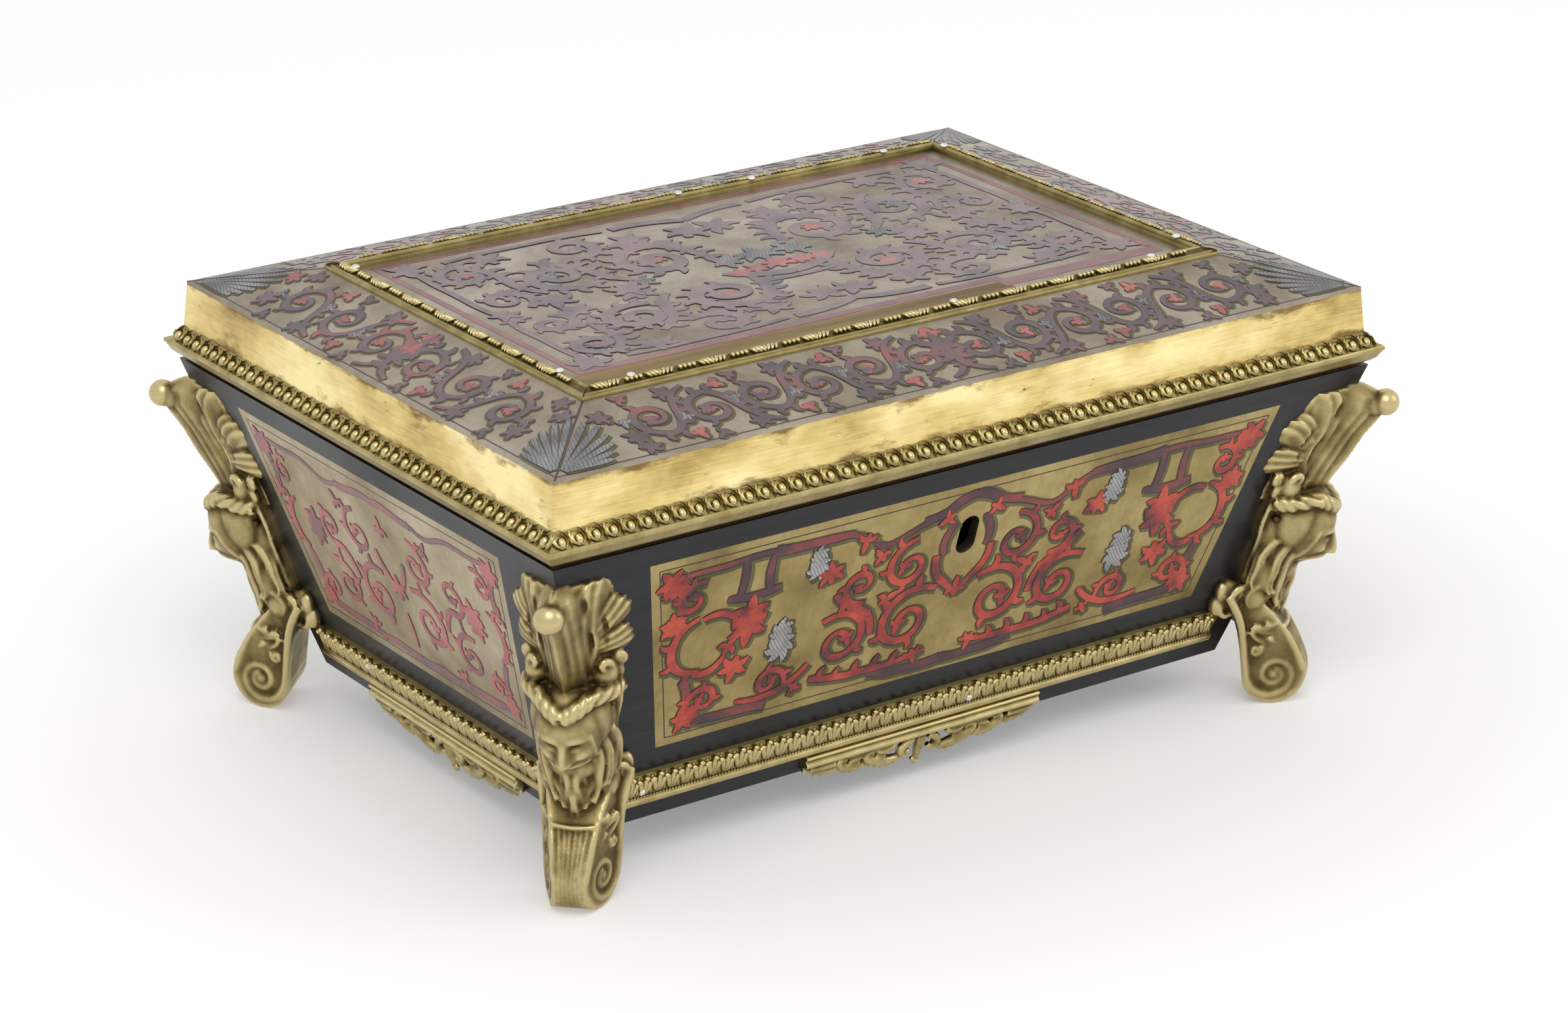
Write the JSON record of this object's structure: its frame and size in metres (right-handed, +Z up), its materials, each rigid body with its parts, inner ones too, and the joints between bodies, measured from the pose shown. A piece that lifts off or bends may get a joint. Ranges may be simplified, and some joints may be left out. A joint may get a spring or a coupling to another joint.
{
  "type": "boulle box",
  "caption": "Casket with leaning inlaid walls, hinged lid with canted inlaid border and raised panel, gilt corner mounts on scroll feet, mouldings and pierced aprons.",
  "frame": {"origin": "on the table, under the middle of the case", "axes": "+X along the length to the right seen from the front, +Y to the hinged back, +Z up; the keyhole side faces -Y"},
  "size_m": [0.3956, 0.2916, 0.1818],
  "materials": {
    "walnut": "bare sawn walnut, oiled edges",
    "ebonised_veneer": "ebonised pear wood, waxed",
    "boulle_inlay": "cut brass, red shell and engraved pewter, aged",
    "boulle_inlay_lid": "cut brass, violet shell and pewter, worn and dull",
    "polished_brass": "polished sheet brass with fine scratches",
    "gilt_moulding": "cast and chased, toned gilding",
    "gilt_bronze": "matte gilt bronze casting",
    "hinge_brass": "filed brass",
    "steel": "filed and blued"
  },
  "bodies": {
    "case": {"apron_mount_front": "gilt_bronze", "apron_mount_left": "gilt_bronze", "apron_mount_right": "gilt_bronze", "back_board": "walnut", "base_moulding_back": "gilt_moulding", "base_moulding_front": "gilt_moulding", "base_moulding_left": "gilt_moulding", "base_moulding_right": "gilt_moulding", "bottom_board": "walnut", "case_screws": "steel", "corner_mount_back_left": "gilt_bronze", "corner_mount_back_right": "gilt_bronze", "corner_mount_front_left": "gilt_bronze", "corner_mount_front_right": "gilt_bronze", "ebony_veneer_back": "ebonised_veneer", "ebony_veneer_front": "ebonised_veneer", "ebony_veneer_left": "ebonised_veneer", "ebony_veneer_right": "ebonised_veneer", "front_board": "walnut", "hinge_case_leaf_left": "hinge_brass", "hinge_case_leaf_right": "hinge_brass", "hinge_pins": "steel", "inlaid_panel_front": "boulle_inlay", "inlaid_panel_left": "boulle_inlay", "inlaid_panel_right": "boulle_inlay", "left_board": "walnut", "lock_plate": "hinge_brass", "mount_pins": "gilt_bronze", "right_board": "walnut"},
    "lid": {"egg_moulding_back": "gilt_moulding", "egg_moulding_front": "gilt_moulding", "egg_moulding_left": "gilt_moulding", "egg_moulding_right": "gilt_moulding", "frame_moulding_back": "gilt_moulding", "frame_moulding_front": "gilt_moulding", "frame_moulding_left": "gilt_moulding", "frame_moulding_right": "gilt_moulding", "hinge_lid_leaf_left": "hinge_brass", "hinge_lid_leaf_right": "hinge_brass", "inlaid_border_back": "boulle_inlay_lid", "inlaid_border_front": "boulle_inlay_lid", "inlaid_border_left": "boulle_inlay_lid", "inlaid_border_right": "boulle_inlay_lid", "inlaid_panel_centre": "boulle_inlay_lid", "lid_band_back": "polished_brass", "lid_band_front": "polished_brass", "lid_band_left": "polished_brass", "lid_band_right": "polished_brass", "lid_board": "walnut", "lid_hook": "steel", "lid_rail_back": "walnut", "lid_rail_front": "walnut", "lid_rail_left": "walnut", "lid_rail_right": "walnut", "lid_screws": "steel"},
    "lock_bolt": {"lock_bolt": "steel"}
  },
  "joints": [
    {"name": "lid_hinge", "type": "hinge", "parent": "case", "child": "lid", "pos_m": [0, 0.13425, 0.13815], "axis": [-1, 0, 0], "range_deg": [0, 100]},
    {"name": "lock_bolt_slide", "type": "slide", "parent": "case", "child": "lock_bolt", "axis": [1, 0, 0], "range_m": [0, 0.005]}
  ]
}
